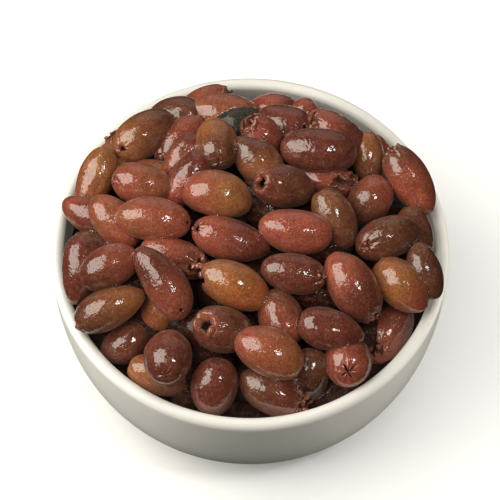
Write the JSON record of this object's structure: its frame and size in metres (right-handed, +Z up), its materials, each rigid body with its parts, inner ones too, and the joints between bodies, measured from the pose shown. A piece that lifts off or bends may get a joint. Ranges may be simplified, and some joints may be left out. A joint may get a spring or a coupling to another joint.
{
  "type": "bowl of olives",
  "caption": "Thick-walled cream glazed bowl, heaped above its rim with glossy pitted red-brown olives, for serving as a starter or snack.",
  "frame": {"origin": "middle of the foot's flat underside, on the surface that the bowl stands on", "axes": "+Z up through the bowl's mouth, -Y toward the viewer of the picture, +X to the viewer's right"},
  "size_m": [0.15, 0.15, 0.0944],
  "materials": {
    "glazed_stoneware": "cream-white glossy glaze, smooth, plain",
    "olive_skin": "wet, oiled olive skin: red-brown to tan and dark mauve, glossy, lightly wrinkled"
  },
  "bodies": {
    "root": {"bowl": "glazed_stoneware", "olives": "olive_skin"}
  },
  "joints": []
}
